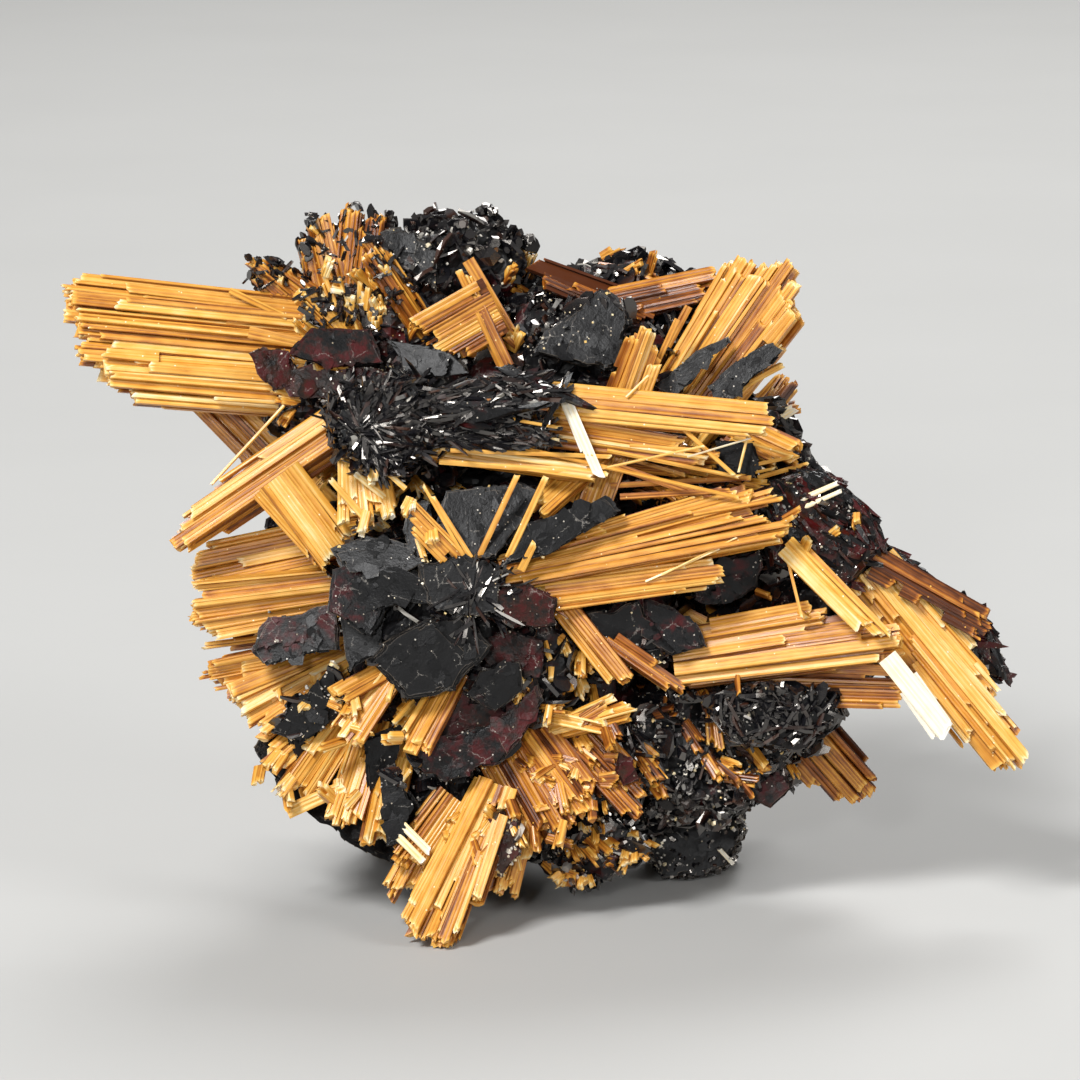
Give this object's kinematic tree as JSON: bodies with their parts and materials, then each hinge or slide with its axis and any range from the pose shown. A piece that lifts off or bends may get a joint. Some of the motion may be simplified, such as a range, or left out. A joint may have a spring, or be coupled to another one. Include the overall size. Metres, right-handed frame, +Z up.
{
  "type": "rutile in matrix mineral specimen",
  "caption": "Mineral specimen: fans of golden rutile laths growing out of black tabular hematite rosettes on a drusy hematite matrix, standing on its own base.",
  "frame": {"origin": "centre of the bounding box at the level of the surface it stands on", "axes": "+X to the right along the long sheaf, -Y towards the viewer of the display face, +Z up"},
  "size_m": [0.0606, 0.0397, 0.0428],
  "materials": {
    "hematite": "near-black tabular hematite, glossy faces with rough druse",
    "hematite_red": "thin dark red-brown hematite, glossy",
    "rutile_gold": "golden striated laths with a satin sheen",
    "rutile_pale": "pale straw laths with bright glossy faces",
    "rutile_amber": "orange-brown striated laths, satin"
  },
  "bodies": {
    "root": {"hematite_body": "hematite", "hematite_bottom_red_plate": "hematite_red", "hematite_centre_right_plate": "hematite", "hematite_front_rosette": "hematite", "hematite_left_plate": "hematite", "hematite_lower_left_blade": "hematite", "hematite_lower_left_plate": "hematite", "hematite_lower_red_plate": "hematite_red", "hematite_lower_right_druse": "hematite", "hematite_middle_rosette": "hematite", "hematite_rear_plate": "hematite", "hematite_right_plate": "hematite", "hematite_right_ridge": "hematite_red", "hematite_right_small_plate": "hematite", "hematite_top_left_plate": "hematite", "hematite_top_plate": "hematite", "hematite_upper_left_plates": "hematite_red", "hematite_upper_right_plate_inner": "hematite", "hematite_upper_right_plate_outer": "hematite", "rutile_below_middle_rosette": "rutile_gold", "rutile_bottom_fan": "rutile_gold", "rutile_bottom_left_short": "rutile_gold", "rutile_bottom_short": "rutile_gold", "rutile_centre_lower": "rutile_gold", "rutile_centre_short": "rutile_gold", "rutile_comb": "rutile_amber", "rutile_crossing_band": "rutile_gold", "rutile_left_cross": "rutile_gold", "rutile_left_diagonal": "rutile_gold", "rutile_left_fan_lower": "rutile_gold", "rutile_left_fan_upper": "rutile_gold", "rutile_left_long": "rutile_gold", "rutile_left_rear": "rutile_amber", "rutile_level_band": "rutile_gold", "rutile_level_band_low": "rutile_gold", "rutile_lower_field": "rutile_amber", "rutile_lower_left_field": "rutile_gold", "rutile_pale_blade_lower": "rutile_pale", "rutile_pale_fan": "rutile_pale", "rutile_rear_centre": "rutile_gold", "rutile_rear_left": "rutile_gold", "rutile_rear_low_left": "rutile_gold", "rutile_rear_low_right": "rutile_gold", "rutile_rear_right": "rutile_gold", "rutile_rear_up": "rutile_gold", "rutile_ridge_prism": "rutile_amber", "rutile_right_bright_laths": "rutile_pale", "rutile_right_diagonal": "rutile_gold", "rutile_right_large": "rutile_gold", "rutile_right_low_amber": "rutile_amber", "rutile_right_lower": "rutile_gold", "rutile_right_top_short": "rutile_gold", "rutile_rosette_blade": "rutile_gold", "rutile_top_band": "rutile_amber", "rutile_top_left_prisms": "rutile_amber", "rutile_under_rosette_left": "rutile_gold", "rutile_under_rosette_right": "rutile_gold", "rutile_upper_left_orange": "rutile_amber", "rutile_upper_left_pale": "rutile_pale", "rutile_upper_right_fan": "rutile_gold"}
  },
  "joints": []
}
